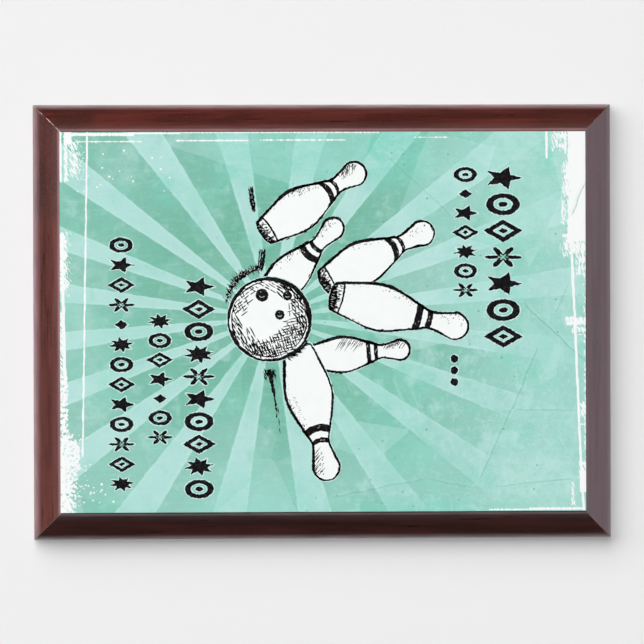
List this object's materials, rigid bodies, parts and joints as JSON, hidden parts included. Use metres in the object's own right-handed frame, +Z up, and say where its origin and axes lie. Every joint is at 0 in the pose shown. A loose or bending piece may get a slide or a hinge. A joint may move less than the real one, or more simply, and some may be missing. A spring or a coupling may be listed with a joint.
{
  "type": "wall award plaque",
  "caption": "Landscape award plaque for bowling: a bevelled wood-finish board with mitred edges, a glossy printed face plate, and keyhole hangers let into its back.",
  "frame": {"origin": "centre of the back, in the plane of the wall that the plaque hangs on", "axes": "+X to the right along the long side seen from the front, +Y into the wall (the printed face looks along -Y), +Z up in the landscape position"},
  "size_m": [0.2032, 0.017, 0.1524],
  "materials": {
    "fibreboard": "raw medium-density fibreboard",
    "cherry_wrap": "dark cherry grain under satin lacquer",
    "print": "high-gloss printed coating on thin sheet",
    "tape": "double-sided foam tape",
    "backing": "black paper laminate",
    "hanger_steel": "stamped and zinc plated",
    "zinc_screw": "bright zinc plated"
  },
  "bodies": {
    "root": {"board_core": "fibreboard", "edge_wrap_top": "cherry_wrap", "edge_wrap_bottom": "cherry_wrap", "edge_wrap_left": "cherry_wrap", "edge_wrap_right": "cherry_wrap", "printed_plate": "print", "adhesive_strip_upper": "tape", "adhesive_strip_middle": "tape", "adhesive_strip_lower": "tape", "backing_sheet": "backing", "hanger_landscape": "hanger_steel", "hanger_portrait": "hanger_steel", "hanger_landscape_screw_upper": "zinc_screw", "hanger_landscape_screw_lower": "zinc_screw", "hanger_portrait_screw_inner": "zinc_screw", "hanger_portrait_screw_outer": "zinc_screw"}
  },
  "joints": []
}
